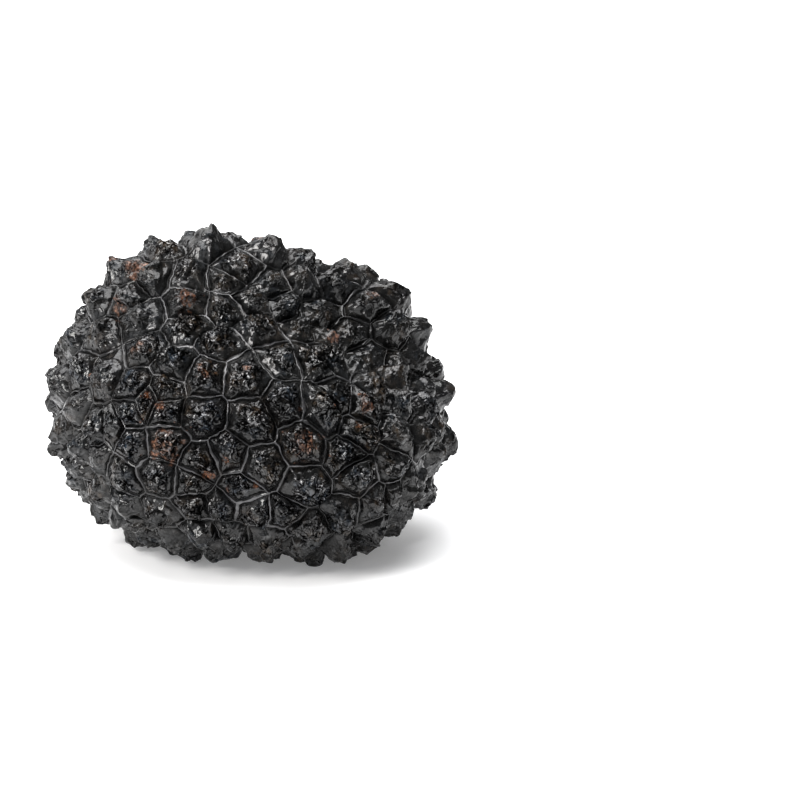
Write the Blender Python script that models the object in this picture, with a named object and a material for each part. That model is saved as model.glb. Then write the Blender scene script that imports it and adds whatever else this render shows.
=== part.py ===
"""A summer truffle, a black wild fungus, lying on a small flat spot.

The truffle grew as one piece, so it is one solid: a lobed lump whose skin is closely set with low
many-sided warts. A groove runs round every wart, and a fine raised net runs along the middle of the
grooves. The side that is seen first faces -Y, +X is to its right and +Z is up. Lengths below are in
millimetres and become metres at the end.
"""

import math

import bmesh
import bpy
import numpy as np

METRES_PER_MM = 0.001
RANDOM_SEED = 11

# The lump under the warts: lobes grown together, each (centre, half sizes) about the truffle's heart.
LOBES = {
    "core": ((0.0, 2.5, -3.0), (20.5, 15.5, 17.3)),
    "front left": ((-5.5, -6.0, -2.6), (17.4, 15.0, 15.6)),
    "front": ((4.0, -7.6, -4.6), (16.6, 14.6, 14.2)),
    "front right": ((11.0, -4.6, -6.8), (14.3, 13.8, 12.0)),
    "crown": ((-5.2, 5.0, 7.0), (17.2, 13.8, 13.5)),
    "left shoulder": ((-15.2, 2.0, -1.2), (11.2, 14.0, 14.4)),
    "right shoulder": ((12.0, 10.0, 3.0), (11.4, 11.6, 12.0)),
    "right side": ((15.2, 6.5, -3.2), (11.2, 11.0, 12.4)),
    "left heel": ((-9.0, 1.5, -9.8), (14.2, 15.0, 10.2)),
    "right heel": ((9.8, 1.5, -10.2), (14.8, 14.0, 10.2)),
}
LOBE_BLEND = 1.3

# The lump goes no lower than this, because it grew lying on firm ground.
UNDERSIDE = -20.3

# The eye that the front warts are placed from: it looks at the heart from a little above.
EYE_DISTANCE = 550.0
EYE_ELEVATION = math.radians(15.0)

# Warts that face the eye, as (across, up) on a plane through the heart, in rows from the top.
FRONT_WARTS = (
    (-12.1, 20.0), (-5.4, 21.0), (1.7, 20.2), (6.6, 18.9),
    (-16.0, 17.8), (-8.2, 16.9), (-3.0, 16.6), (3.4, 16.2), (8.4, 15.6), (13.6, 16.8),
    (-20.4, 13.2), (-14.9, 11.0), (-8.4, 13.5), (-3.0, 12.1), (0.4, 13.6), (5.4, 13.2),
    (10.6, 12.4), (16.8, 12.9), (19.0, 14.4),
    (-23.6, 8.8), (-8.4, 9.6), (-4.1, 7.8), (1.1, 9.6), (6.8, 10.2), (14.6, 9.2), (20.0, 9.6),
    (-23.4, 3.9), (-19.7, 3.6), (-14.6, 6.6), (-10.6, 4.6), (-6.4, 3.0), (-0.7, 3.1),
    (4.6, 5.3), (8.6, 5.0), (11.6, 5.4), (17.8, 6.0), (23.6, 7.8),
    (-25.8, 1.6), (-16.1, 1.9), (-12.2, 1.1), (-14.2, -0.4), (5.2, -0.5), (12.5, 0.0),
    (17.2, 1.2), (24.0, 1.2),
    (-23.7, -1.2), (-16.7, -1.8), (-11.8, -1.8), (-6.5, -2.6), (0.0, -3.4), (10.1, -1.9),
    (15.4, -1.5), (20.6, -0.5), (25.4, -4.0),
    (-25.8, -6.0), (-21.7, -4.4), (-18.7, -3.9), (-11.8, -6.0), (7.2, -6.4), (14.9, -4.9),
    (20.6, -5.6), (25.6, -7.4),
    (-20.9, -8.2), (-16.6, -6.0), (-6.5, -9.1), (-3.3, -8.1), (1.5, -10.0), (13.4, -8.0),
    (20.1, -9.5), (24.6, -11.0),
    (-23.6, -9.8), (-17.9, -11.0), (-12.6, -10.9), (-8.1, -11.9), (7.3, -12.4), (14.7, -11.0),
    (21.8, -12.8),
    (-21.4, -12.6), (-17.1, -14.8), (-12.5, -15.9), (-7.5, -14.8), (-4.1, -14.8), (-1.6, -12.8),
    (4.3, -16.2), (12.5, -16.0), (17.1, -14.8), (19.8, -13.7),
    (-18.0, -17.4), (-14.6, -19.0), (-6.8, -18.6), (-2.4, -19.0), (0.3, -15.8), (1.8, -19.3),
    (7.9, -17.9), (11.8, -20.4), (16.0, -19.1), (21.2, -16.8),
)

# One wart sits straight under the truffle's weight, where it rests, this tall and as wide as the others.
FOOT_WART = (0.2, 0.8, -20.3)
FOOT_WART_HEIGHT = 2.2

# Warts everywhere else are set by rule, this far apart, and then pushed evenly away from each other.
WART_SPACING = 5.0
CANDIDATE_WARTS = 6000
RELAX_ROUNDS = 25

# Corners of the net that lie closer than this are one corner.
SHORTEST_NET_EDGE = 0.9

# The net's crest stands this far above the groove floor, which lies this far below the lump.
NET_RISE = 0.35
GROOVE_DEPTH = 0.9

# A wart from its edge inwards: each ring's share of the way out, and its height as a share of the
# wart's width. They are the groove floor, the shoulder of the flank and the rim of the rough top.
WART_RINGS = ((0.89, 0.0), (0.72, 0.19), (0.44, 0.32))
TIP_HEIGHT = 0.37
TIP_LEAN = 0.07

# How unlike each other the warts are in height, and how uneven one wart's rings are.
HEIGHT_VARIETY = 0.12
RING_UNEVENNESS = 0.12
RING_WANDER = 0.04

# Where the heart lies over the middle of the resting spot. Warts that would reach lower are pressed
# flat at the ground.
HEART_PLACE = (-0.11, 0.48, 20.65)

SKIN_COLOUR = (0.012, 0.011, 0.011, 1.0)
SKIN_ROUGHNESS = 0.38
SHARP_ANGLE = math.radians(38.0)


def unit(vectors):
    """The vectors at length one."""
    return vectors / np.linalg.norm(vectors, axis=-1, keepdims=True)


def lump_distance(points):
    """How far outside the smooth lump each point lies: the lobes' distances, softly joined."""
    distances = []
    for centre, half_sizes in LOBES.values():
        offset = points - np.array(centre)
        ratio = np.linalg.norm(offset / half_sizes, axis=1)
        slope = np.linalg.norm(offset / np.square(half_sizes), axis=1)
        distances.append(ratio * (ratio - 1.0) / np.maximum(slope, 1e-9))
    nearest = np.min(distances, axis=0)
    shares = np.exp((nearest - np.array(distances)) / LOBE_BLEND)
    joined = nearest - LOBE_BLEND * np.log(shares.sum(axis=0))
    return np.maximum(joined, UNDERSIDE - points[:, 2])


def march(starts, directions, steps=90):
    """Follows each ray from its start until it meets the lump."""
    points = starts.copy()
    for _ in range(steps):
        points = points + directions * (0.7 * lump_distance(points))[:, None]
    return points


def on_lump(directions):
    """The lump's surface straight out from the heart in each direction."""
    directions = unit(directions)
    return march(directions * 45.0, -directions)


def lump_normals(points):
    """The outward normal of the lump at each point, from its distance either side."""
    step = 0.05
    ahead = [lump_distance(points + step * axis) for axis in np.eye(3)]
    behind = [lump_distance(points - step * axis) for axis in np.eye(3)]
    return unit(np.stack(ahead, axis=1) - np.stack(behind, axis=1))


def front_directions():
    """Where the eye's lines through the front warts meet the lump, as directions from the heart."""
    eye = EYE_DISTANCE * np.array([0.0, -math.cos(EYE_ELEVATION), math.sin(EYE_ELEVATION)])
    up = np.array([0.0, math.sin(EYE_ELEVATION), math.cos(EYE_ELEVATION)])
    targets = np.array([across * np.array([1.0, 0.0, 0.0]) + height * up for across, height in FRONT_WARTS])
    rays = unit(targets - eye)
    near = eye + rays * (EYE_DISTANCE - 45.0)
    points = near.copy()
    closest, least = points.copy(), np.full(len(points), 1e9)
    for _ in range(200):
        distance = lump_distance(points)
        better = distance < least
        closest[better], least[better] = points[better], distance[better]
        points = points + rays * np.maximum(0.6 * distance, 0.02)[:, None] * (distance > 0.01)[:, None]
    return unit(closest)


def wart_directions():
    """Directions of every wart from the heart: the front ones as placed, the rest filled in and relaxed."""
    rng = np.random.default_rng(RANDOM_SEED)
    placed = np.vstack([front_directions(), unit(np.array([FOOT_WART]))])
    seats = on_lump(placed)
    candidates = on_lump(rng.normal(size=(CANDIDATE_WARTS, 3)))
    for spot in candidates:
        if np.linalg.norm(seats - spot, axis=1).min() > 0.86 * WART_SPACING:
            seats = np.vstack([seats, spot])
    free = np.arange(len(seats)) >= len(placed)
    for _ in range(RELAX_ROUNDS):
        apart = seats[:, None] - seats[None]
        gap = np.linalg.norm(apart, axis=2) + 100.0 * np.eye(len(seats))
        push = np.maximum(0.0, 1.25 * WART_SPACING - gap) / gap
        moved = seats + 0.12 * (push[:, :, None] * apart).sum(axis=1)
        seats[free] = on_lump(moved[free])
    return unit(seats)


def wart_cells(directions):
    """A closed ball of flat cells on the lump, one for each wart, with corners between three warts."""
    hull = bmesh.new()
    for direction in directions:
        hull.verts.new(direction)
    bmesh.ops.convex_hull(hull, input=hull.verts[:])
    bmesh.ops.triangulate(hull, faces=hull.faces[:])
    bmesh.ops.recalc_face_normals(hull, faces=hull.faces[:])
    hull.normal_update()
    corners = on_lump(np.array([face.normal for face in hull.faces]))
    cells = bmesh.new()
    corner_of = {face: cells.verts.new(corner) for face, corner in zip(hull.faces, corners)}
    for wart in hull.verts:
        east = wart.co.orthogonal().normalized()
        north = wart.co.cross(east)
        around = list(wart.link_faces)
        around.sort(key=lambda face: math.atan2(face.normal.dot(north), face.normal.dot(east)))
        cells.faces.new([corner_of[face] for face in around])
    hull.free()
    bmesh.ops.remove_doubles(cells, verts=cells.verts[:], dist=SHORTEST_NET_EDGE)
    return cells


def set_heights(verts, points, heights):
    """Moves each vertex out over its point on the lump, to its height above the groove floor."""
    seats = on_lump(np.array(points))
    seats += lump_normals(seats) * (np.array(heights) - GROOVE_DEPTH)[:, None]
    for vert, seat in zip(verts, seats):
        vert.co = seat


def grow_warts(skin):
    """Raises the net along the cells' edges and a wart inside each: insets for its rings, then its tip."""
    rng = np.random.default_rng(RANDOM_SEED)
    tops = skin.faces[:]
    hubs = [np.array(top.calc_center_median()) for top in tops]
    widths = [2.0 * math.sqrt(top.calc_area() / math.pi) for top in tops]
    rises = [width * rng.normal(1.0, HEIGHT_VARIETY) for width in widths]
    foot = np.argmin(np.linalg.norm(np.array(hubs) - FOOT_WART, axis=1))
    rises[foot] = FOOT_WART_HEIGHT / TIP_HEIGHT
    outlines = [[np.array(vert.co) for vert in top.verts] for top in tops]
    crest = skin.verts[:]
    set_heights(crest, [vert.co for vert in crest], [NET_RISE] * len(crest))
    for share, height in WART_RINGS:
        bmesh.ops.inset_individual(skin, faces=tops, thickness=0.0, use_even_offset=False)
        verts, points, heights = [], [], []
        for top, hub, outline, rise in zip(tops, hubs, outlines, rises):
            for vert, corner in zip(top.verts, outline):
                wander = RING_WANDER * rng.uniform(-1.0, 1.0) if height else 0.0
                verts.append(vert)
                points.append(hub + (share + wander) * (corner - hub))
                heights.append(rise * height * (1.0 + RING_UNEVENNESS * rng.uniform(-1.0, 1.0)))
        set_heights(verts, points, heights)
    tips = bmesh.ops.poke(skin, faces=tops)["verts"]
    leans = [TIP_LEAN * width * rng.normal(size=3) for width in widths]
    set_heights(tips, [hub + lean for hub, lean in zip(hubs, leans)], [rise * TIP_HEIGHT for rise in rises])


def press_flat_spot(skin):
    """Sets the truffle down on the ground, with what would reach below it pressed flat."""
    bmesh.ops.translate(skin, verts=skin.verts[:], vec=HEART_PLACE)
    for vert in skin.verts:
        vert.co.z = max(vert.co.z, 0.0)


def skin_material():
    """The truffle's black glossy skin."""
    material = bpy.data.materials.new("black_skin")
    material.use_nodes = True
    shader = material.node_tree.nodes["Principled BSDF"]
    shader.inputs["Base Color"].default_value = SKIN_COLOUR
    shader.inputs["Roughness"].default_value = SKIN_ROUGHNESS
    shader.inputs["Metallic"].default_value = 0.0
    return material


def add_truffle(collection):
    """Models the truffle and links it into the collection."""
    skin = wart_cells(wart_directions())
    grow_warts(skin)
    press_flat_spot(skin)
    bmesh.ops.scale(skin, verts=skin.verts[:], vec=(METRES_PER_MM,) * 3)
    bmesh.ops.triangulate(skin, faces=skin.faces[:])
    bmesh.ops.recalc_face_normals(skin, faces=skin.faces[:])
    mesh = bpy.data.meshes.new("truffle")
    skin.to_mesh(mesh)
    skin.free()
    mesh.shade_smooth()
    mesh.set_sharp_from_angle(angle=SHARP_ANGLE)
    mesh.materials.append(skin_material())
    truffle = bpy.data.objects.new("truffle", mesh)
    collection.objects.link(truffle)
    return truffle


def main():
    """Clears the scene and models the truffle in a collection of its own."""
    for leftover in list(bpy.data.objects):
        bpy.data.objects.remove(leftover)
    collection = bpy.data.collections.new("summer_truffle")
    bpy.context.scene.collection.children.link(collection)
    add_truffle(collection)


main()
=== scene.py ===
# %% [markdown]
# # A summer truffle
#
# A summer truffle is a black fungus that ripens under the ground. It has no stem and no cap: it is one
# lobed lump, and its hard skin is closely set with low many-sided warts. This notebook gives the packed
# solid of one truffle its looks: the fine skin with its net and warts, the black glossy finish with a few
# rusty scars, a pale floor, soft light and a camera.

# %% The frame
import math

import bmesh
import bpy
import numpy as np
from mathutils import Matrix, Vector, kdtree, noise


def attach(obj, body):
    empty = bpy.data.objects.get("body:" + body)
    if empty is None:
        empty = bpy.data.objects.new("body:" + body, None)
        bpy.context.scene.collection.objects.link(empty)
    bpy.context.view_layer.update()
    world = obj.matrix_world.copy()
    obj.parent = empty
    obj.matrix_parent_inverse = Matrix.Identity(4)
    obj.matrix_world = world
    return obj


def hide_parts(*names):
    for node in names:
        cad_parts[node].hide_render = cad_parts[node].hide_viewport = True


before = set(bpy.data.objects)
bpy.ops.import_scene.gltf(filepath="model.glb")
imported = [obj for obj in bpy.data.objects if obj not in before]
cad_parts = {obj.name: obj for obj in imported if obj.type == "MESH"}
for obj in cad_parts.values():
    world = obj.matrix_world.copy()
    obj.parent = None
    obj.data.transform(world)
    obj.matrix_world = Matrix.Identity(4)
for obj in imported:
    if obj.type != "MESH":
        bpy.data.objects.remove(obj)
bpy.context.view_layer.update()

# %% [markdown]
# ## The lump under the warts
#
# A truffle swells in several places at once, so its body is a few lobes grown together. One way to model
# that is to sculpt a ball; another is metaballs. Here the lobes are stretched balls in a formula that says
# how far any point lies outside them, softly joined. A formula can be asked for the surface in any
# direction, and for its normal, which every later step needs. Lengths are in millimetres, and the numbers
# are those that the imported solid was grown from. The seed fixes every random draw.

# %% The lobes
RANDOM_SEED = 11
noise.seed_set(RANDOM_SEED)
LOBES = {
    "core": ((0.0, 2.5, -3.0), (20.5, 15.5, 17.3)),
    "front left": ((-5.5, -6.0, -2.6), (17.4, 15.0, 15.6)),
    "front": ((4.0, -7.6, -4.6), (16.6, 14.6, 14.2)),
    "front right": ((11.0, -4.6, -6.8), (14.3, 13.8, 12.0)),
    "crown": ((-5.2, 5.0, 7.0), (17.2, 13.8, 13.5)),
    "left shoulder": ((-15.2, 2.0, -1.2), (11.2, 14.0, 14.4)),
    "right shoulder": ((12.0, 10.0, 3.0), (11.4, 11.6, 12.0)),
    "right side": ((15.2, 6.5, -3.2), (11.2, 11.0, 12.4)),
    "left heel": ((-9.0, 1.5, -9.8), (14.2, 15.0, 10.2)),
    "right heel": ((9.8, 1.5, -10.2), (14.8, 14.0, 10.2)),
}
LOBE_BLEND = 1.3
UNDERSIDE = -20.3
HEART_PLACE = (-0.11, 0.48, 20.65)
BEYOND_LUMP = 45.0
WALK_SHARE = 0.7


def unit(vectors):
    """The vectors at length one."""
    return vectors / np.linalg.norm(vectors, axis=-1, keepdims=True)


def lump_shape(points):
    """How far outside the lump each point lies, and which way is out: the lobes, softly joined."""
    distances, slopes = [], []
    for centre, half_sizes in LOBES.values():
        offset = points - centre
        steepness = offset / np.square(half_sizes)
        ratio = np.linalg.norm(offset / half_sizes, axis=1)
        slope = np.linalg.norm(steepness, axis=1)
        distances.append(ratio * (ratio - 1.0) / slope)
        slopes.append(steepness / slope[:, None])
    nearest = np.min(distances, axis=0)
    shares = np.exp((nearest - distances) / LOBE_BLEND)
    total = shares.sum(axis=0)
    joined = nearest - LOBE_BLEND * np.log(total)
    outward = sum(share[:, None] * slope for share, slope in zip(shares, slopes)) / total[:, None]
    under = UNDERSIDE - points[:, 2] > joined
    outward[under] = (0.0, 0.0, -1.0)
    return np.where(under, UNDERSIDE - points[:, 2], joined), unit(outward)


def lump_distance(points):
    """How far outside the lump each point lies."""
    return lump_shape(points)[0]


def on_lump(points, steps=90):
    """The lump's surface straight out from the heart towards each point, walked to from outside."""
    directions = unit(points)
    seats = directions * BEYOND_LUMP
    for _ in range(steps):
        seats = seats - directions * (WALK_SHARE * lump_distance(seats))[:, None]
    return seats


print("lump height above the heart", on_lump(np.array([[0.0, 0.0, 1.0]])).round(2))

# %% [markdown]
# ## Where the warts sit
#
# The warts that the camera sees are listed one by one, because their pattern is what makes this truffle
# this one. Their places are given as the eye sees them, across and up, and a line from the eye through each
# finds its seat on the lump. The rest are thrown at random, kept apart, and then pushed evenly away from
# each other, which is how warts that swell side by side settle.

# %% The warts' seats
EYE_DISTANCE = 550.0
EYE_ELEVATION = math.radians(15.0)
FRONT_WARTS = (
    (-12.1, 20.0), (-5.4, 21.0), (1.7, 20.2), (6.6, 18.9),
    (-16.0, 17.8), (-8.2, 16.9), (-3.0, 16.6), (3.4, 16.2), (8.4, 15.6), (13.6, 16.8),
    (-20.4, 13.2), (-14.9, 11.0), (-8.4, 13.5), (-3.0, 12.1), (0.4, 13.6), (5.4, 13.2),
    (10.6, 12.4), (16.8, 12.9), (19.0, 14.4),
    (-23.6, 8.8), (-8.4, 9.6), (-4.1, 7.8), (1.1, 9.6), (6.8, 10.2), (14.6, 9.2), (20.0, 9.6),
    (-23.4, 3.9), (-19.7, 3.6), (-14.6, 6.6), (-10.6, 4.6), (-6.4, 3.0), (-0.7, 3.1),
    (4.6, 5.3), (8.6, 5.0), (11.6, 5.4), (17.8, 6.0), (23.6, 7.8),
    (-25.8, 1.6), (-16.1, 1.9), (-12.2, 1.1), (-14.2, -0.4), (5.2, -0.5), (12.5, 0.0),
    (17.2, 1.2), (24.0, 1.2),
    (-23.7, -1.2), (-16.7, -1.8), (-11.8, -1.8), (-6.5, -2.6), (0.0, -3.4), (10.1, -1.9),
    (15.4, -1.5), (20.6, -0.5), (25.4, -4.0),
    (-25.8, -6.0), (-21.7, -4.4), (-18.7, -3.9), (-11.8, -6.0), (7.2, -6.4), (14.9, -4.9),
    (20.6, -5.6), (25.6, -7.4),
    (-20.9, -8.2), (-16.6, -6.0), (-6.5, -9.1), (-3.3, -8.1), (1.5, -10.0), (13.4, -8.0),
    (20.1, -9.5), (24.6, -11.0),
    (-23.6, -9.8), (-17.9, -11.0), (-12.6, -10.9), (-8.1, -11.9), (7.3, -12.4), (14.7, -11.0),
    (21.8, -12.8),
    (-21.4, -12.6), (-17.1, -14.8), (-12.5, -15.9), (-7.5, -14.8), (-4.1, -14.8), (-1.6, -12.8),
    (4.3, -16.2), (12.5, -16.0), (17.1, -14.8), (19.8, -13.7),
    (-18.0, -17.4), (-14.6, -19.0), (-6.8, -18.6), (-2.4, -19.0), (0.3, -15.8), (1.8, -19.3),
    (7.9, -17.9), (11.8, -20.4), (16.0, -19.1), (21.2, -16.8),
)
FOOT_WART = (0.2, 0.8, -20.3)
FOOT_WART_HEIGHT = 2.2
WART_SPACING = 5.0
CANDIDATE_WARTS = 6000
LEAST_APART = 0.86 * WART_SPACING
PUSH_REACH = 1.25 * WART_SPACING
PUSH_SHARE = 0.12
RELAX_ROUNDS = 25
SIGHT_STEPS = 200
SIGHT_SHARE = 0.6

EYE = EYE_DISTANCE * np.array([0.0, -math.cos(EYE_ELEVATION), math.sin(EYE_ELEVATION)])
EYE_UP = np.array([0.0, math.sin(EYE_ELEVATION), math.cos(EYE_ELEVATION)])


def seen_at(places):
    """Where the eye's lines through places (across, up) meet the lump, as directions from the heart."""
    targets = np.array([across * np.array([1.0, 0.0, 0.0]) + height * EYE_UP for across, height in places])
    rays = unit(targets - EYE)
    points = EYE + rays * (EYE_DISTANCE - BEYOND_LUMP)
    closest, least = points.copy(), np.full(len(points), 1e9)
    for _ in range(SIGHT_STEPS):
        distance = lump_distance(points)
        better = distance < least
        closest[better], least[better] = points[better], distance[better]
        step = np.maximum(SIGHT_SHARE * distance, 0.02) * (distance > 0.01)
        points = points + rays * step[:, None]
    return unit(closest)


def wart_directions():
    """Directions of every wart from the heart: the front ones as placed, the rest filled in and relaxed."""
    rng = np.random.default_rng(RANDOM_SEED)
    placed = np.vstack([seen_at(FRONT_WARTS), unit(np.array([FOOT_WART]))])
    seats = on_lump(placed)
    candidates = on_lump(rng.normal(size=(CANDIDATE_WARTS, 3)))
    for spot in candidates:
        if np.linalg.norm(seats - spot, axis=1).min() > LEAST_APART:
            seats = np.vstack([seats, spot])
    free = np.arange(len(seats)) >= len(placed)
    for _ in range(RELAX_ROUNDS):
        apart = seats[:, None] - seats[None]
        gap = np.linalg.norm(apart, axis=2) + 100.0 * np.eye(len(seats))
        push = np.maximum(0.0, PUSH_REACH - gap) / gap
        moved = seats + PUSH_SHARE * (push[:, :, None] * apart).sum(axis=1)
        seats[free] = on_lump(moved[free])
    return unit(seats)


directions = wart_directions()
print("warts", len(directions), "of which set by hand", len(FRONT_WARTS))

# %% [markdown]
# ## The net between the warts
#
# Where warts swell against each other, each one ends up inside a many-sided cell. A convex hull round the
# seats joins every wart to its neighbours with triangles, and the way each triangle faces is that of a
# corner of three cells. So the hull's operator does the hard part, and each cell only has to gather the
# corners round its wart. The trios are sorted, so that the cells come out the same each time.

# %% The cells
SHORTEST_NET_EDGE = 0.9


def wart_cells(directions):
    """A closed ball of flat cells on the lump, one for each wart, with corners between three warts."""
    hull = bmesh.new()
    for direction in directions:
        hull.verts.new(direction)
    bmesh.ops.convex_hull(hull, input=hull.verts[:])
    hull.verts.index_update()
    trios = sorted(sorted(wart.index for wart in face.verts) for face in hull.faces)
    hull.free()
    ends = directions[np.array(trios)]
    facing = unit(np.cross(ends[:, 1] - ends[:, 0], ends[:, 2] - ends[:, 0]))
    facing *= np.sign((facing * ends[:, 0]).sum(axis=1))[:, None]
    cells = bmesh.new()
    corners = [cells.verts.new(corner) for corner in on_lump(facing)]
    for number, direction in enumerate(directions):
        middle = Vector(direction)
        east = middle.orthogonal().normalized()
        north = middle.cross(east)
        around = [index for index, trio in enumerate(trios) if number in trio]
        around.sort(key=lambda index: math.atan2(north.dot(facing[index]), east.dot(facing[index])))
        cells.faces.new([corners[index] for index in around])
    bmesh.ops.remove_doubles(cells, verts=cells.verts[:], dist=SHORTEST_NET_EDGE)
    return cells


cells = wart_cells(directions)
print("cells", len(cells.faces), "net corners", len(cells.verts), "net edges", len(cells.edges))

# %% [markdown]
# ## A fine mesh over the cells
#
# Poking a cell makes a fan of triangles round its hub, and subdividing the fan gives an even grid whose
# rows run parallel to the net. Every vertex carries its share of the way from the hub to the net, which
# the operators work out for the new vertices as they cut, and every face carries the number of its wart.

# %% Cutting the cells
CELL_CUTS = 25
HEIGHT_VARIETY = 0.12
TIP_HEIGHT = 0.37

hubs = np.array([cell.calc_center_median() for cell in cells.faces])
widths = np.array([2.0 * math.sqrt(cell.calc_area() / math.pi) for cell in cells.faces])
wart_rng = np.random.default_rng(RANDOM_SEED)
rises = np.array([width * wart_rng.normal(1.0, HEIGHT_VARIETY) for width in widths])
rises[np.argmin(np.linalg.norm(hubs - FOOT_WART, axis=1))] = FOOT_WART_HEIGHT / TIP_HEIGHT

wart_number = cells.faces.layers.int.new("wart")
share_out = cells.verts.layers.float.new("share")
for number, cell in enumerate(cells.faces):
    cell[wart_number] = number
for corner in cells.verts:
    corner[share_out] = 1.0
for hub in bmesh.ops.poke(cells, faces=cells.faces[:], center_mode="MEAN")["verts"]:
    hub[share_out] = 0.0
bmesh.ops.subdivide_edges(cells, edges=cells.edges[:], cuts=CELL_CUTS, use_grid_fill=True)
whole = bpy.data.meshes.new("whole_skin")
cells.to_mesh(whole)
cells.free()
print("fine skin triangles", len(whole.polygons), "vertices", len(whole.vertices))

# %% Reading the mesh as arrays


def read(items, name, kind, width=1):
    """One property of every vertex, loop or attribute value, as an array."""
    values = np.zeros(len(items) * width, kind)
    items.foreach_get(name, values)
    return values.reshape(-1, width) if width > 1 else values


flat = read(whole.vertices, "co", np.float32, 3).astype(float)
share = read(whole.attributes["share"].data, "value", np.float32).astype(float)
triangles = read(whole.loops, "vertex_index", np.int32).reshape(-1, 3)
wart_of_face = read(whole.attributes["wart"].data, "value", np.int32)
wart = np.zeros(len(flat), int)
wart[triangles.ravel()] = np.repeat(wart_of_face, 3)
print("rows from hub to net", len(np.unique(share.round(3))) - 1)

# %% [markdown]
# ## The warts and the net as a surface
#
# Each vertex has a distance to the net and a place round its wart, so the surface is a formula: a narrow
# cord on the net, a slit beside it, and a blunt pyramid with flat flanks that rises from the slit. Rows
# are packed towards the net, where the shape turns fastest. A slow wander bends the straight cell sides,
# because nothing on a truffle is ruled.

# %% Laying out each wart
ROW_PACKING = 1.3
ROUNDING = 0.35
LEAN = 0.10
WANDERS = ((0.35, 0.42), (1.0, 0.20), (2.6, 0.06))


def wander(points, scale, seed):
    """A slow random drift, one vector for each point."""
    shifted = (points * scale + (seed, 2.0 * seed, 3.0 * seed)).tolist()
    return np.array([noise.noise_vector(point)[:] for point in shifted])


def rough(points, scale, seed, octaves=3):
    """A random height for each point, about -1 to 1, with finer octaves on top."""
    shifted = (points * scale + (seed, 2.0 * seed, 3.0 * seed)).tolist()
    return np.array([noise.fractal(point, 0.8, 2.1, octaves) for point in shifted])


def smooth(low, high, value):
    """Rises from 0 at low to 1 at high, with soft ends; low may be the larger."""
    part = np.clip((value - low) / (high - low), 0.0, 1.0)
    return part * part * (3.0 - 2.0 * part)


def settle(points):
    """The points moved onto the lump, straight along its normal, and that normal."""
    for _ in range(4):
        distance, outward = lump_shape(points)
        points = points - outward * distance[:, None]
    return points, lump_shape(points)[1]


character = np.random.default_rng(41)
seats_of_hubs, wart_axis = settle(hubs)
lean = LEAN * widths[:, None] * np.cross(wart_axis, character.normal(size=hubs.shape))
hub_of = hubs[wart]
radius = 0.5 * widths[wart]
at_hub = share < 1e-6
edge_point = hub_of + (flat - hub_of) / np.maximum(share, 1e-6)[:, None]
edge_point[at_hub] = hub_of[at_hub] + (1.0, 0.0, 0.0)
edge_reach = np.linalg.norm(edge_point - hub_of, axis=1)
edge_reach[at_hub] = radius[at_hub]
inward = 1.0 - (1.0 - share) ** ROW_PACKING
roundness = ROUNDING * smooth(0.95, 0.45, inward)
reach = (1.0 - roundness) * edge_reach + roundness * radius
place = hub_of + unit(edge_point - hub_of) * (inward * reach)[:, None]
place += lean[wart] * (1.0 - inward)[:, None]
for scale, size in WANDERS:
    place += size * wander(place, scale, 5.1 + scale)
seat, normal = settle(place)
to_net = (1.0 - inward) * edge_reach
print("largest distance to the net", to_net.max().round(2), "mm")

# %% [markdown]
# ## Height of the net and the warts
#
# A worn wart has a flat top, and one that never met the soil's grit keeps its peak. Each height could be
# drawn as a profile curve and turned round; but the cells aren't round, so the height is worked out from
# the distance to the net instead. The net's cord is a half circle, and a wart's flank and top are two
# straight lines that meet in a blunt bend.

# %% Heights
NET_HALF = 0.23
NET_RISE = 0.26
SLIT_DEPTH = 0.68
SLIT_HALF = 0.25
FLANK_SHARE = (0.42, 0.78)
TOP_FLATNESS = (0.35, 0.75)
PEAK_SHARE = 0.10
BLUNTNESS = 0.24
TALLNESS = 1.06
WORN_TALLNESS = 0.01
TOP_VARIETY = 0.12
WORN_WHEN_FACING = (0.35, 0.80)
MOST_WORN_ELSEWHERE = 0.6


def pick(limits):
    """A value between the limits for each wart, given to each of its vertices."""
    return character.uniform(*limits, len(hubs))[wart]


def blunt(along):
    """Height of a wart, 0 at its foot and about 1 at its hub: a steep line that turns to a flatter one."""
    flank_line = along * flank_rise / flank_share
    top_line = 1.0 - (1.0 - along) * (1.0 - flank_rise) / (1.0 - flank_share)
    return 0.5 * (flank_line + top_line - np.sqrt(np.square(flank_line - top_line) + BLUNTNESS**2))


facing_eye = unit(seats_of_hubs) @ (EYE / EYE_DISTANCE)
luck_of_wear = character.uniform(0.0, MOST_WORN_ELSEWHERE, len(hubs))
worn = np.maximum(smooth(*WORN_WHEN_FACING, facing_eye), luck_of_wear)[wart]
flank_share = pick(FLANK_SHARE)
flank_rise = flank_share + (1.0 - flank_share) * pick(TOP_FLATNESS) * (1.0 - PEAK_SHARE * (1.0 - worn))
net_half = NET_HALF * (1.0 + 0.4 * rough(seat, 0.6, 1.9, 2))
net = np.sqrt(np.clip(1.0 - np.square(to_net / net_half), 0.0, 1.0))
climb = np.clip((to_net - SLIT_HALF) / (edge_reach - SLIT_HALF), 0.0, 1.0)
pyramid = blunt(climb) - blunt(0.0)
tallness = rises[wart] * TIP_HEIGHT * (TALLNESS + WORN_TALLNESS * worn)
tallness = tallness * pick((1.0 - TOP_VARIETY, 1.0 + TOP_VARIETY))
cord = NET_RISE * net * (1.0 + 0.8 * rough(seat, 0.35, 7.7, 2))
height = cord + tallness * pyramid - SLIT_DEPTH

# %% [markdown]
# ## The step and the swells
#
# The front lobe stands proud of the skin behind it, with an edge that runs across the truffle from the
# left. A crease like this could be cut into the lobes; here the skin beyond the edge is sunk a little and
# comes back to level further on. A few soft swells and hollows near the outline bring it to the real
# one's. Each wart moves as a whole, so that it keeps its shape, and only the net between them bends.

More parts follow.
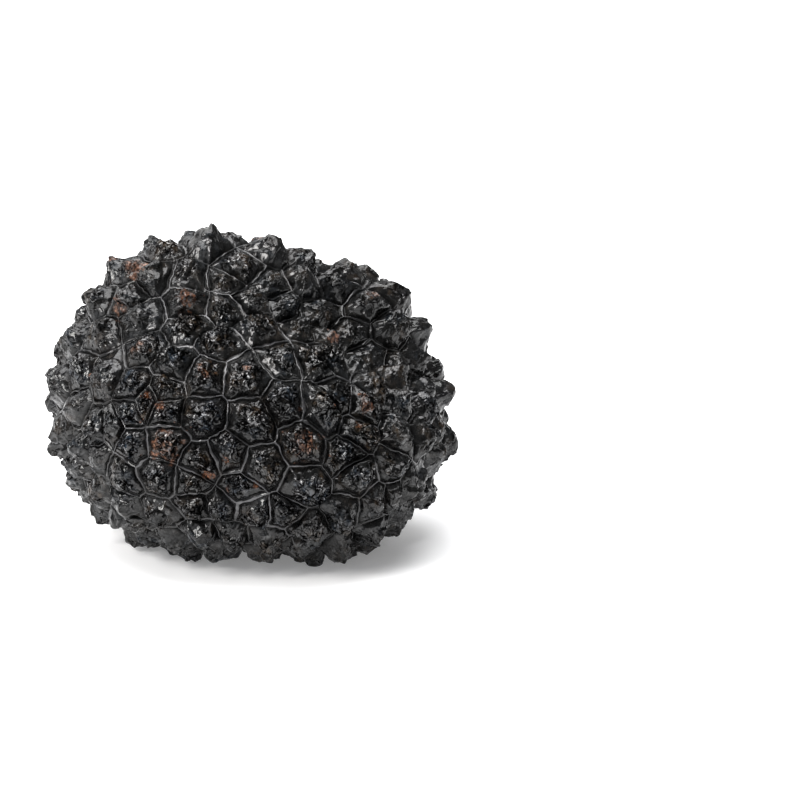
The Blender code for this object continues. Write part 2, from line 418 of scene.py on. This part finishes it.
# %% The step behind the front lobe
FRONT_LOBE_EDGE = (
    (-5.3, 14.8), (2.0, 14.4), (4.2, 9.4), (9.6, 9.4), (12.6, 6.1), (13.7, 3.5), (18.3, 3.9), (23.1, 2.2),
)
STEP_DEPTH = 1.5
STEP_START = (-0.6, 1.8)
STEP_END = (7.0, 2.4)
STEP_LEFT_END = (-9.5, -4.5)
IN_SIGHT = (-0.1, 0.3)
SWELLS = (
    (5.5, 20.4, 5.0, 1.5), (13.8, 18.4, 2.8, 1.0), (-16.2, 19.6, 3.0, 1.0), (26.0, -6.4, 3.0, 1.4),
    (24.2, -13.2, 6.0, -2.2), (-21.5, -13.2, 5.5, -1.6),
)


def seen_places(points):
    """Where points show across and up as the eye sees them."""
    toward = EYE / EYE_DISTANCE
    growth = EYE_DISTANCE / (EYE_DISTANCE - points @ toward)
    return np.stack([points[:, 0] * growth, (points @ EYE_UP) * growth], axis=1)


def beyond_edge(places):
    """How far each seen place lies beyond the front lobe's upper edge; below it the value is negative."""
    least = np.full(len(places), 1e9)
    beyond = np.zeros(len(places))
    corners = np.array(FRONT_LOBE_EDGE)
    for start, end in zip(corners[:-1], corners[1:]):
        run = end - start
        along = np.clip(((places - start) @ run) / (run @ run), 0.0, 1.0)
        gap = places - start - along[:, None] * run
        distance = np.linalg.norm(gap, axis=1)
        side = np.sign(run[0] * gap[:, 1] - run[1] * gap[:, 0])
        closer = distance < least - 1e-6
        beyond[closer] = (side * distance)[closer]
        least[closer] = distance[closer]
    return beyond


def sunk(points, normals):
    """How deep the skin lies behind the front lobe's edge, at points on the lump."""
    places = seen_places(points)
    beyond = beyond_edge(places)
    in_sight = smooth(*IN_SIGHT, normals @ (EYE / EYE_DISTANCE)) * smooth(*STEP_LEFT_END, places[:, 0])
    return STEP_DEPTH * smooth(*STEP_START, beyond) * smooth(*STEP_END, beyond) * in_sight


def raised(points):
    """How far the swells lift the skin at points on the lump; each is across, up, radius and rise."""
    spots = on_lump(seen_at([swell[:2] for swell in SWELLS]))
    lift = np.zeros(len(points))
    for spot, (_, _, swell_radius, rise) in zip(spots, SWELLS):
        lift += rise * np.exp(-np.square((points - spot) / swell_radius).sum(axis=1))
    return lift


whole_wart = smooth(0.0, 0.5, climb)
shift_here = raised(seat) - sunk(seat, normal)
shift_of_wart = (raised(seats_of_hubs) - sunk(seats_of_hubs, wart_axis))[wart]
height += (1.0 - whole_wart) * shift_here + whole_wart * shift_of_wart
surface = seat + normal * height[:, None]
print("heights in mm", height.min().round(2), height.max().round(2))

# %% [markdown]
# ## Flutes, facets and cracks
#
# Seen close, the flank of a wart is fluted from the slit to the top, and the top is broken into small
# hard facets with cracks between them. Flutes are a noise that only changes round the wart. Facets come
# from scattering points over the skin: what lies nearest to one point is pressed towards one plane.

# %% Flutes
FLUTES = ((3.4, 0.10), (8.0, 0.07))

axis = wart_axis[wart]
east = unit(np.cross(axis, np.array([0.31, 0.17, 0.93])))
north = np.cross(axis, east)
aside = seat - seats_of_hubs[wart]
angle = np.arctan2((aside * north).sum(axis=1), (aside * east).sum(axis=1))
flank = smooth(0.02, 0.20, climb) * smooth(0.9, 0.5, climb)
for count, depth in FLUTES:
    ring = np.stack([count * np.cos(angle), count * np.sin(angle), 7.3 * wart + 0.9 * climb], axis=1)
    ripple = np.abs(rough(ring, 1.0, count, 2)) * 2.2 - 0.5
    surface += normal * (depth * flank * ripple)[:, None]

# %% Facets
SKIN_AREA = 7600.0
KNOLL_SCALE = 0.55
KNOLL_HEIGHT = 0.28
FACETS = ((1.90, 0.28, 0.75), (0.95, 0.34, 0.95))
CRACK_DEPTH = 0.07
CRACK_HALF = 0.10
WRINKLES = ((0.80, 0.20), (1.7, 0.05))
WRINKLE_REACH = 0.45
MOST_PRESSED = 0.35


def scatter(spacing, seed):
    """Points all over the lump, about one for each square of the spacing."""
    rng = np.random.default_rng(seed)
    return on_lump(rng.normal(size=(int(SKIN_AREA / spacing**2), 3)), steps=40)


def nearest(points, seeds):
    """The number of the seed nearest to each point, and how much nearer it is than the next one."""
    tree = kdtree.KDTree(len(seeds))
    for number, seed in enumerate(seeds):
        tree.insert(seed, number)
    tree.balance()
    found = [tree.find_n(point, 2) for point in points.tolist()]
    label = np.array([pair[0][1] for pair in found])
    margin = np.array([pair[1][2] - pair[0][2] for pair in found])
    return label, margin


def group_mean(values, label, count):
    """The mean of the values that share a label."""
    weight = np.maximum(np.bincount(label, minlength=count), 1)
    sums = [np.bincount(label, column, minlength=count) for column in values.T]
    return np.stack(sums, axis=1) / weight[:, None]


def press(label, count, tilt, strength, seed):
    """Moves each vertex along its normal towards the plane of its own facet."""
    rng = np.random.default_rng(seed)
    standing = surface_normals()
    centre = group_mean(surface, label, count)
    facing = unit(group_mean(standing, label, count) + 1e-9 + tilt * rng.normal(size=(count, 3)))
    gap = ((centre[label] - surface) * facing[label]).sum(axis=1)
    along = np.clip((standing * facing[label]).sum(axis=1), 0.5, 1.0)
    return surface + standing * (strength * np.clip(gap / along, -MOST_PRESSED, MOST_PRESSED))[:, None]


def surface_normals():
    """The normal at each vertex of the skin as it now stands."""
    corners = surface[triangles]
    across = np.cross(corners[:, 1] - corners[:, 0], corners[:, 2] - corners[:, 0])
    total = [np.bincount(triangles.ravel(), np.repeat(column, 3)) for column in across.T]
    return unit(np.stack(total, axis=1))


crumple = pick((0.6, 1.3)) * (0.35 + 0.65 * worn)
crust = smooth(0.10, 0.35, climb)
top = smooth(0.18, 0.44, climb + 0.20 * rough(seat, 0.9, 3.3, 2)) * (0.15 + 0.85 * worn)
bent = seat + 0.18 * wander(seat, 1.6, 8.8)
surface += normal * (KNOLL_HEIGHT * crust * rough(seat, KNOLL_SCALE, 4.4, 2))[:, None]
wrinkled = crumple * (0.2 * crust + 0.8 * top)
for scale, rise in WRINKLES:
    crease = np.minimum(np.abs(rough(bent, scale, 2.2, 2)), WRINKLE_REACH)
    surface += normal * (rise * wrinkled * (0.4 - 1.8 * crease))[:, None]
for number, (spacing, tilt, strength) in enumerate(FACETS):
    seeds = scatter(spacing, 21 + number)
    label, margin = nearest(bent, seeds)
    where = top if number else crust * (0.8 + 0.2 * worn)
    surface = press(label, len(seeds), tilt, strength * where, 31 + number)
    print("facets", len(seeds), "of", spacing, "mm")
crack = smooth(CRACK_HALF, 0.0, margin) * top
surface -= normal * (CRACK_DEPTH * crumple * crack)[:, None]

# %% [markdown]
# ## Scars
#
# Where a tip was rubbed or gnawed in the soil, the black skin is gone and rusty flesh shows. The scars in
# sight are listed, across and up as the eye sees them, with a radius and a dryness from wet amber at 0 to
# dry pinkish tan at 1. A few more are scattered over the far side.

# %% Placing the scars
SCARS = (
    (-14.9, 17.4, 1.7, 0.7), (-14.7, 6.5, 0.9, 1.0), (-6.1, 2.9, 0.8, 0.2), (-13.9, 0.5, 0.6, 0.0),
    (-12.2, -1.0, 0.8, 0.1), (-11.5, -6.7, 1.7, 0.6), (-5.7, -10.5, 0.8, 0.3), (-3.4, -8.4, 0.4, 0.3),
    (-3.0, -12.5, 0.5, 0.9), (7.2, -6.4, 1.4, 0.6), (11.1, -1.6, 0.55, 0.4), (15.2, -0.1, 0.5, 0.3),
    (15.6, -1.6, 0.6, 0.3), (14.4, -3.9, 0.4, 0.4), (-0.5, 3.5, 0.5, 0.5), (-8.4, 13.4, 1.1, 0.2),
    (-8.8, 11.0, 0.6, 0.9), (-17.6, 12.4, 1.2, 0.8), (11.5, 8.3, 0.9, 0.9), (12.9, 4.9, 0.4, 0.5),
    (13.2, -17.5, 0.8, 1.0), (-21.7, 3.3, 0.5, 1.0), (6.8, -1.6, 0.4, 0.6), (0.7, -12.1, 0.35, 0.4),
    (16.3, 13.0, 0.8, 0.5),
)
FAR_SCARS = 22

far_side = np.flatnonzero(hubs[:, 1] > 3.0)
chosen = character.choice(far_side, FAR_SCARS, replace=False)
scar_seats = np.vstack([on_lump(seen_at([scar[:2] for scar in SCARS])), seats_of_hubs[chosen]])
scar_sizes = np.concatenate([[scar[2] for scar in SCARS], character.uniform(0.4, 1.6, FAR_SCARS)])
scar_tones = np.concatenate([[scar[3] for scar in SCARS], character.uniform(0.0, 1.0, FAR_SCARS)])
scar = np.zeros(len(seat))
dryness = np.zeros(len(seat))
ragged = 1.0 + 0.7 * rough(seat, 1.2, 12.1, 3)
for spot, size, tone in zip(scar_seats, scar_sizes, scar_tones):
    strength = smooth(1.15 * size, 0.65 * size, np.linalg.norm(seat - spot, axis=1) * ragged)
    dryness = np.where(strength > scar, tone, dryness)
    scar = np.maximum(scar, strength)
print("scars", len(scar_seats), "share of the skin", scar.mean().round(4))

# %% [markdown]
# ## The skin's pieces
#
# The whole skin is one closed sheet. It is cut into slices along the net, like the slices of an orange,
# only to keep each mesh light. The cuts follow the net's cords, where two warts part anyway. Each slice
# carries what its finish needs to know at every vertex: the net, the painted shade in the hollow beside
# it, how far up a wart it lies, its crusty top, and the scars.

# %% Setting it down and slicing it
SLICES = 5
HOLLOW_SHADE_REACH = 0.68
HOLLOW_SHADE_CORE = 0.3

surface += np.array(HEART_PLACE)
surface[:, 2] = np.maximum(surface[:, 2], 0.0)
bearing = np.arctan2(hubs[:, 1], hubs[:, 0])
sides = np.bincount(wart_of_face, minlength=len(hubs))
order = np.argsort(bearing)
slice_of_wart = np.zeros(len(hubs), int)
slice_of_wart[order] = SLICES * (np.cumsum(sides[order]) - 1) // sides.sum()


def skin_slice(number, faces, values):
    """One slice of the skin as an object, with the values that its material reads."""
    used, corners = np.unique(triangles[faces], return_inverse=True)
    mesh = bpy.data.meshes.new(f"skin_{number}")
    mesh.vertices.add(len(used))
    mesh.vertices.foreach_set("co", (0.001 * surface[used]).astype(np.float32).ravel())
    mesh.loops.add(3 * len(faces))
    mesh.loops.foreach_set("vertex_index", corners.astype(np.int32).ravel())
    mesh.polygons.add(len(faces))
    mesh.polygons.foreach_set("loop_start", np.arange(0, 3 * len(faces), 3, dtype=np.int32))
    mesh.update(calc_edges=True)
    mesh.validate()
    for name, value in values.items():
        kind, field = ("FLOAT_VECTOR", "vector") if value.ndim == 2 else ("FLOAT", "value")
        layer = mesh.attributes.new(name, kind, "POINT")
        layer.data.foreach_set(field, value[used].astype(np.float32).ravel())
    mesh.shade_smooth()
    piece = bpy.data.objects.new(mesh.name, mesh)
    bpy.context.scene.collection.objects.link(piece)
    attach(piece, "root")
    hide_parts("truffle")
    print(piece.name, len(faces), "triangles")
    return piece


# Painted shade: the slit beside the net and the cracks on the tops are darkened, with a random variety.
hollow = smooth(0.45, 0.85, to_net / net_half) * smooth(HOLLOW_SHADE_REACH, HOLLOW_SHADE_CORE, to_net)
hollow = hollow * (0.75 + 0.35 * rough(seat, 0.7, 6.1, 2))
hollow = np.clip(np.maximum(hollow, 0.8 * crack), 0.0, 1.0)
values = {
    # The net weakens on less worn warts, so its painted highlight is strongest on the warts facing the eye.
    "net": net * (0.4 + 0.6 * worn),
    "hollow": hollow,
    "top": top,
    "climb": climb,
    "scar": scar,
    "dryness": dryness,
}
slices = [
    skin_slice(number + 1, np.flatnonzero(slice_of_wart[wart_of_face] == number), values)
    for number in range(SLICES)
]
bpy.data.meshes.remove(whole)
print("skin size in mm", (surface.max(axis=0) - surface.min(axis=0)).round(2))

# %% [markdown]
# ## A small language for shaders
#
# A material is a tree of nodes, and its sums are easier to read as sums. So one class stands for a node's
# output: a sign between two of them adds a Math node, and one method adds any other node.

# %% A small language for shaders


class Shade:
    """One output of a material's node tree, with Python's own signs for its maths."""

    def __init__(self, tree, socket=None):
        self.tree = tree
        self.socket = socket

    def node(self, kind, settings=None, output=0, **feeds):
        """Adds a node: first its settings, then what each socket is fed; a name's _ stands for a space."""
        made = self.tree.nodes.new(kind)
        for name, setting in (settings or {}).items():
            if name == "stops":
                set_stops(made.color_ramp, setting)
            else:
                setattr(made, name, setting)
        for name, feed in feeds.items():
            socket = made.inputs[int(name[1:])] if name[0] == "_" else made.inputs[name.replace("_", " ")]
            if isinstance(feed, Shade):
                self.tree.links.new(feed.socket, socket)
            else:
                socket.default_value = feed
        return Shade(self.tree, made.outputs[output])

    def also(self, output):
        """Another output of the same node."""
        return Shade(self.tree, self.socket.node.outputs[output])

    def maths(self, operation, first, second=0.0):
        """A Math node on two numbers or values."""
        return self.node("ShaderNodeMath", {"operation": operation}, _0=first, _1=second)

    def __add__(self, other):
        return self.maths("ADD", self, other)

    def __sub__(self, other):
        return self.maths("SUBTRACT", self, other)

    def __rsub__(self, other):
        return self.maths("SUBTRACT", other, self)

    def __mul__(self, other):
        return self.maths("MULTIPLY", self, other)

    __radd__ = __add__
    __rmul__ = __mul__


def set_stops(ramp, stops):
    """Gives a ramp its stops, each a place and a colour."""
    while len(ramp.elements) > 1:
        ramp.elements.remove(ramp.elements[-1])
    for number, (place, colour) in enumerate(stops):
        stop = ramp.elements[0] if number == 0 else ramp.elements.new(place)
        stop.position = place
        stop.color = (*colour, 1.0)


# %% [markdown]
# ## The black skin
#
# The skin is almost black and hard, and it gleams as if wet. Nearly all that the eye sees on it is light
# reflected off small slopes. A painted picture of those gleams would slide and look flat, so the finish
# mostly has a low roughness and fine relief instead, and little colour: only a thin painted highlight on
# the net's crest and the creases, and painted shade in the narrow gaps. Every pattern lies in the object's
# own space, bent by a drift of 0.6 mm so that nothing in it runs straight.

# %% The skin's material
MILLIMETRE = 0.001
WARP_SCALE = 900.0
WARP_REACH = (0.6 * MILLIMETRE,) * 3
MOTTLE_SCALE = 900.0
FLANK_CRUST = 0.15

skin_material = bpy.data.materials.new("black_skin")
skin_material.use_nodes = True
tree = skin_material.node_tree
shader = tree.nodes["Principled BSDF"]
shade = Shade(tree)


def attribute(name):
    """A value that the mesh carries at its vertices."""
    return shade.node("ShaderNodeAttribute", {"attribute_name": name}, output=2)


def spread(value, low, high, least=0.0, most=1.0):
    """The value mapped from low..high to least..most, and held there."""
    return shade.node("ShaderNodeMapRange", _0=value, _1=low, _2=high, _3=least, _4=most)


def blend(part, under, over):
    """Two colours mixed, by how much of the second."""
    return shade.node("ShaderNodeMix", {"data_type": "RGBA"}, output=2, _0=part, _6=under, _7=over)


def grain(scale, detail=1.0, output=0, vector=None):
    """Plain noise in the object's own space, or in the space of a vector."""
    space = vector or places
    return shade.node("ShaderNodeTexNoise", output=output, Vector=space, Scale=scale, Detail=detail)


def vector_maths(operation, *feeds, output=0):
    """A Vector Math node on vectors."""
    sockets = {f"_{number}": feed for number, feed in enumerate(feeds)}
    return shade.node("ShaderNodeVectorMath", {"operation": operation}, output=output, **sockets)


def feed_shader(name, value):
    """Links a value or colour to one of the skin shader's sockets."""
    tree.links.new(value.socket, shader.inputs[name])


places = shade.node("ShaderNodeTexCoord", output=3)
drift = grain(WARP_SCALE, output=1)
warped = vector_maths("MULTIPLY_ADD", drift, WARP_REACH, places)
mottle = grain(MOTTLE_SCALE, detail=4.0)
net_part, hollow_shade_part, top_part, climb_part, scar_part, dry_part = (
    attribute(name) for name in ("net", "hollow", "top", "climb", "scar", "dryness")
)
crusty = FLANK_CRUST + (1.0 - FLANK_CRUST) * top_part
print("values that the mesh carries", list(values))

# %% [markdown]
# ## Facets and creases as fine relief
#
# On a wart's top the skin breaks into facets of less than a millimetre, each tilted its own way, and thin
# creases run over them like the creases of crushed foil. As geometry that would take tens of millions of
# triangles, so it is bump. A cell texture gives each facet its middle and its luck, and their dot product
# is a tilted plane. A crease runs where a noise crosses its middle value; the thin band on each side of it
# is no relief, only a place for painted shade.

# %% Facets and creases as fine relief
FACET_SIZE = 0.80
FACET_TILT = 0.42
STREAKS = ((420.0, 0.026, 1.0), (800.0, 0.036, 0.8))
STREAK_STRETCHES = (0.47, 0.57)
STREAK_RISE = 0.07
FLANK_CRUMPLE = (0.03, 0.22)
TOP_CRUMPLE = 0.78
MOTTLE_RISE = 0.006
PIT_SCALE = 2300.0
PIT_DEPTH = 0.12

facets = {"Vector": warped, "Scale": 1.0 / (FACET_SIZE * MILLIMETRE)}
facet_luck = shade.node("ShaderNodeTexVoronoi", output="Color", **facets)
from_middle = vector_maths("SUBTRACT", warped, facet_luck.also("Position"))
tilt = vector_maths("SUBTRACT", facet_luck, (0.5, 0.5, 0.5))
tilted = vector_maths("DOT_PRODUCT", from_middle, tilt, output=1)
facet_edge = shade.node("ShaderNodeTexVoronoi", {"feature": "DISTANCE_TO_EDGE"}, **facets)

creases, gully_shades = [], []
for scale, half, size in STREAKS:
    away = shade.maths("ABSOLUTE", grain(scale, vector=warped) - 0.5)
    stretches = spread(grain(0.9 * scale), *STREAK_STRETCHES)
    creases.append(spread(away, 0.0, half, 1.0, 0.0) * stretches * size)
    # A band on each side of a crease, for painted shade only.
    beside = spread(away, 1.1 * half, 1.5 * half) * spread(away, 2.0 * half, 3.4 * half, 1.0, 0.0)
    gully_shades.append(beside * size)
streak = sum(creases)
gully_shade = sum(gully_shades)

crumple_part = spread(climb_part, 0.0, 0.3, *FLANK_CRUMPLE) * (1.0 - net_part) + TOP_CRUMPLE * top_part
relief = MOTTLE_RISE * mottle + crumple_part * (tilted * (FACET_TILT / MILLIMETRE) + STREAK_RISE * streak)
pits = shade.node("ShaderNodeTexVoronoi", Vector=places, Scale=PIT_SCALE)
relief = relief - PIT_DEPTH * scar_part * pits
feed_shader("Normal", shade.node("ShaderNodeBump", Strength=1.0, Distance=MILLIMETRE, Height=relief))
print("facets of", FACET_SIZE, "mm and", len(STREAKS), "sizes of crease")

# %% [markdown]
# ## Colour and shine
#
# The black is mottled, and on the tops it leans here to blue and there to brown, as an oily film does.
# Where the skin is gone the flesh is wet amber or dry pinkish tan. The crest of the net and the creases
# carry a thin hard coat, and a lighter grey on them is a painted highlight.

# %% Colour and shine
BLACKS = (
    (0.38, (0.003, 0.003, 0.003)),
    (0.55, (0.008, 0.008, 0.008)),
    (0.72, (0.020, 0.019, 0.018)),
)
TINTS = (
    (0.38, (0.022, 0.036, 0.055)),
    (0.50, (0.016, 0.016, 0.015)),
    (0.62, (0.065, 0.040, 0.019)),
)
TINT_SCALE = 210.0
TINT_SHARE = 0.65
WET_FLESH = (0.27, 0.085, 0.025, 1.0)
DRY_FLESH = (0.30, 0.16, 0.11, 1.0)
PAINTED_HIGHLIGHT_GREY = (0.040, 0.040, 0.043, 1.0)
CREST_HIGHLIGHT_SCALE = 160.0

black = shade.node("ShaderNodeValToRGB", {"stops": BLACKS}, Fac=mottle)
tint = shade.node("ShaderNodeValToRGB", {"stops": TINTS}, Fac=grain(TINT_SCALE, detail=3.0))
tinted = blend(TINT_SHARE * spread(mottle, 0.45, 0.62) * crusty, black, tint)
bare = scar_part * spread(pits, 0.15, 0.75, 1.0, 0.15) * spread(mottle, 0.38, 0.60, 0.10, 1.0)
colour = blend(bare, tinted, blend(dry_part, WET_FLESH, DRY_FLESH))
# Painted highlight: a lighter grey on the net's crest, broken up by noise, and along the creases.
crest_highlight = spread(net_part, 0.5, 0.9) * spread(grain(CREST_HIGHLIGHT_SCALE, detail=2.0), 0.42, 0.62)
painted_highlight = shade.maths("MAXIMUM", crest_highlight, 0.8 * crusty * streak)
feed_shader("Base Color", blend(painted_highlight, colour, PAINTED_HIGHLIGHT_GREY))
feed_shader("Roughness", 0.08 + 0.12 * mottle + 0.22 * scar_part * dry_part + 0.10 * net_part)

facet_shine = shade.node("ShaderNodeSeparateColor", output=2, Color=facet_luck)
glint = 0.3 * top_part * spread(facet_shine, 0.45, 0.8) + 0.9 * crusty * streak
feed_shader("Coat Weight", shade.maths("MAXIMUM", 0.5 * crest_highlight, glint))
shader.inputs["Coat IOR"].default_value = 1.9
shader.inputs["Coat Roughness"].default_value = 0.12
shader.inputs["IOR"].default_value = 1.44
print("blacks", len(BLACKS), "tints", len(TINTS))

# %% [markdown]
# ## Gaps that no light leaves
#
# Beside the net, in thin bands beside the creases and between the facets, shade is painted in, as if light
# could not come back out. A dark colour isn't enough there, because the gloss over it still shines. So a
# second shader without any gloss is mixed in as painted shade, as strongly as each place is shaded.

# %% Gaps that no light leaves
NO_LIGHT = (0.001, 0.001, 0.001, 1.0)
FACET_EDGE_SHADE_HALF = 0.10
FACET_EDGE_SHADE = 0.55
GULLY_SHADE_STRENGTH = 0.9
HOLLOW_SHADE_STRENGTH = 0.95

# Painted shade: a black shader without gloss, mixed in beside the net, between facets and beside creases.
painted_shade_shader = shade.node(
    "ShaderNodeBsdfPrincipled", Base_Color=NO_LIGHT, Roughness=0.9, Specular_IOR_Level=0.0
)
fine_painted_shade = spread(facet_edge, 0.0, FACET_EDGE_SHADE_HALF, FACET_EDGE_SHADE, 0.0) + GULLY_SHADE_STRENGTH * gully_shade
painted_shade = HOLLOW_SHADE_STRENGTH * hollow_shade_part + crusty * (1.0 - hollow_shade_part) * fine_painted_shade
both = shade.node("ShaderNodeMixShader", Fac=painted_shade, _1=Shade(tree, shader.outputs[0]), _2=painted_shade_shader)
tree.links.new(both.socket, tree.nodes["Material Output"].inputs["Surface"])
for piece in slices:
    piece.data.materials.append(skin_material)
print("skin nodes", len(tree.nodes))

# %% [markdown]
# ## The floor
#
# The truffle lies on a white surface with no edge in sight. Lit alone, it would need lights so strong that
# they wash out the black skin, so it also glows a little by itself.

# %% Floor
FLOOR_HALF = 3.0
FLOOR_WHITE = (0.90, 0.90, 0.91, 1.0)
FLOOR_ROUGHNESS = 0.6
GLOW_WHITE = (1.0, 1.0, 1.0, 1.0)
FLOOR_GLOW = 0.20

floor_mesh = bpy.data.meshes.new("floor")
floor_form = bmesh.new()
bmesh.ops.create_grid(floor_form, x_segments=1, y_segments=1, size=FLOOR_HALF)
floor_form.to_mesh(floor_mesh)
floor_form.free()
floor = bpy.data.objects.new("floor", floor_mesh)
bpy.context.scene.collection.objects.link(floor)
floor_material = bpy.data.materials.new("white_floor")
floor_material.use_nodes = True
floor_shader = floor_material.node_tree.nodes["Principled BSDF"]
floor_shader.inputs["Base Color"].default_value = FLOOR_WHITE
floor_shader.inputs["Roughness"].default_value = FLOOR_ROUGHNESS
floor_shader.inputs["Emission Color"].default_value = GLOW_WHITE
floor_shader.inputs["Emission Strength"].default_value = FLOOR_GLOW
floor_mesh.materials.append(floor_material)
print("floor", 2.0 * FLOOR_HALF, "m wide")

# %% [markdown]
# ## The light
#
# A black glossy thing shows little but what it mirrors, so the lights are large soft boxes in a dim white
# room: one above, one behind that the upper skin mirrors at a slant, and two from the left front. The
# shadow falls below the truffle and to its lower right. Each box has a place, two sizes, a power in watts
# and a tone; places and sizes are in metres.

# %% Light
ROOM_LIGHT = 0.22
ROOM_WHITE = (1.0, 1.0, 1.0, 1.0)
SOFTBOXES = {
    "top_softbox": ((-0.05, 0.05, 0.75), (0.7, 0.7), 10.0, (1.0, 1.0, 1.0)),
    "key_softbox": ((-0.55, -0.45, 0.60), (0.36, 0.36), 7.5, (1.0, 0.98, 0.95)),
    "front_softbox": ((-0.85, -1.00, 0.70), (1.5, 1.0), 5.5, (0.94, 0.97, 1.0)),
    "backdrop": ((-0.45, 0.90, 0.50), (2.0, 0.9), 8.0, (1.0, 1.0, 1.0)),
}
LIT_SPOT = Vector((0.0, 0.0, 0.02))

world = bpy.data.worlds.new("white_room")
world.use_nodes = True
world.node_tree.nodes["Background"].inputs["Color"].default_value = ROOM_WHITE
world.node_tree.nodes["Background"].inputs["Strength"].default_value = ROOM_LIGHT
bpy.context.scene.world = world
bpy.context.scene.view_settings.view_transform = "Standard"
for name, (place, sizes, power, tone) in SOFTBOXES.items():
    lamp = bpy.data.lights.new(name, "AREA")
    lamp.shape = "RECTANGLE"
    lamp.size, lamp.size_y = sizes
    lamp.energy = power
    lamp.color = tone
    box = bpy.data.objects.new(name, lamp)
    box.location = place
    box.rotation_mode = "QUATERNION"
    box.rotation_quaternion = (LIT_SPOT - box.location).to_track_quat("-Z", "Y")
    bpy.context.scene.collection.objects.link(box)
print("softboxes", len(SOFTBOXES))

# %% [markdown]
# ## The camera
#
# The eye stands half a metre off and a little above, and looks past the truffle's right side, so that the
# truffle lies left of the picture's middle. Turning the camera does that without any lens shift. The lens
# follows from how many millimetres one pixel covers at the truffle.

# %% Camera
MM_PER_PIXEL = 55.0 / 405.0
PHOTO_SIZE = 800.0
TRUFFLE_CENTRE_PX = (250.0, 396.0)
SENSOR = 36.0

heart = Vector(HEART_PLACE)
aside_mm = (0.5 * PHOTO_SIZE - TRUFFLE_CENTRE_PX[0]) * MM_PER_PIXEL
below_mm = (0.5 * PHOTO_SIZE - TRUFFLE_CENTRE_PX[1]) * MM_PER_PIXEL
aim = heart + Vector((aside_mm, 0.0, 0.0)) - below_mm * Vector(EYE_UP)
camera_data = bpy.data.cameras.new("camera")
camera_data.sensor_width = SENSOR
camera_data.lens = SENSOR * EYE_DISTANCE / (PHOTO_SIZE * MM_PER_PIXEL)
camera_data.clip_start = 0.01
camera = bpy.data.objects.new("camera", camera_data)
camera.location = 0.001 * (heart + Vector(EYE))
camera.rotation_mode = "QUATERNION"
camera.rotation_quaternion = (0.001 * aim - camera.location).to_track_quat("-Z", "Y")
bpy.context.scene.collection.objects.link(camera)
bpy.context.scene.camera = camera
print("lens", round(camera_data.lens, 1), "mm")
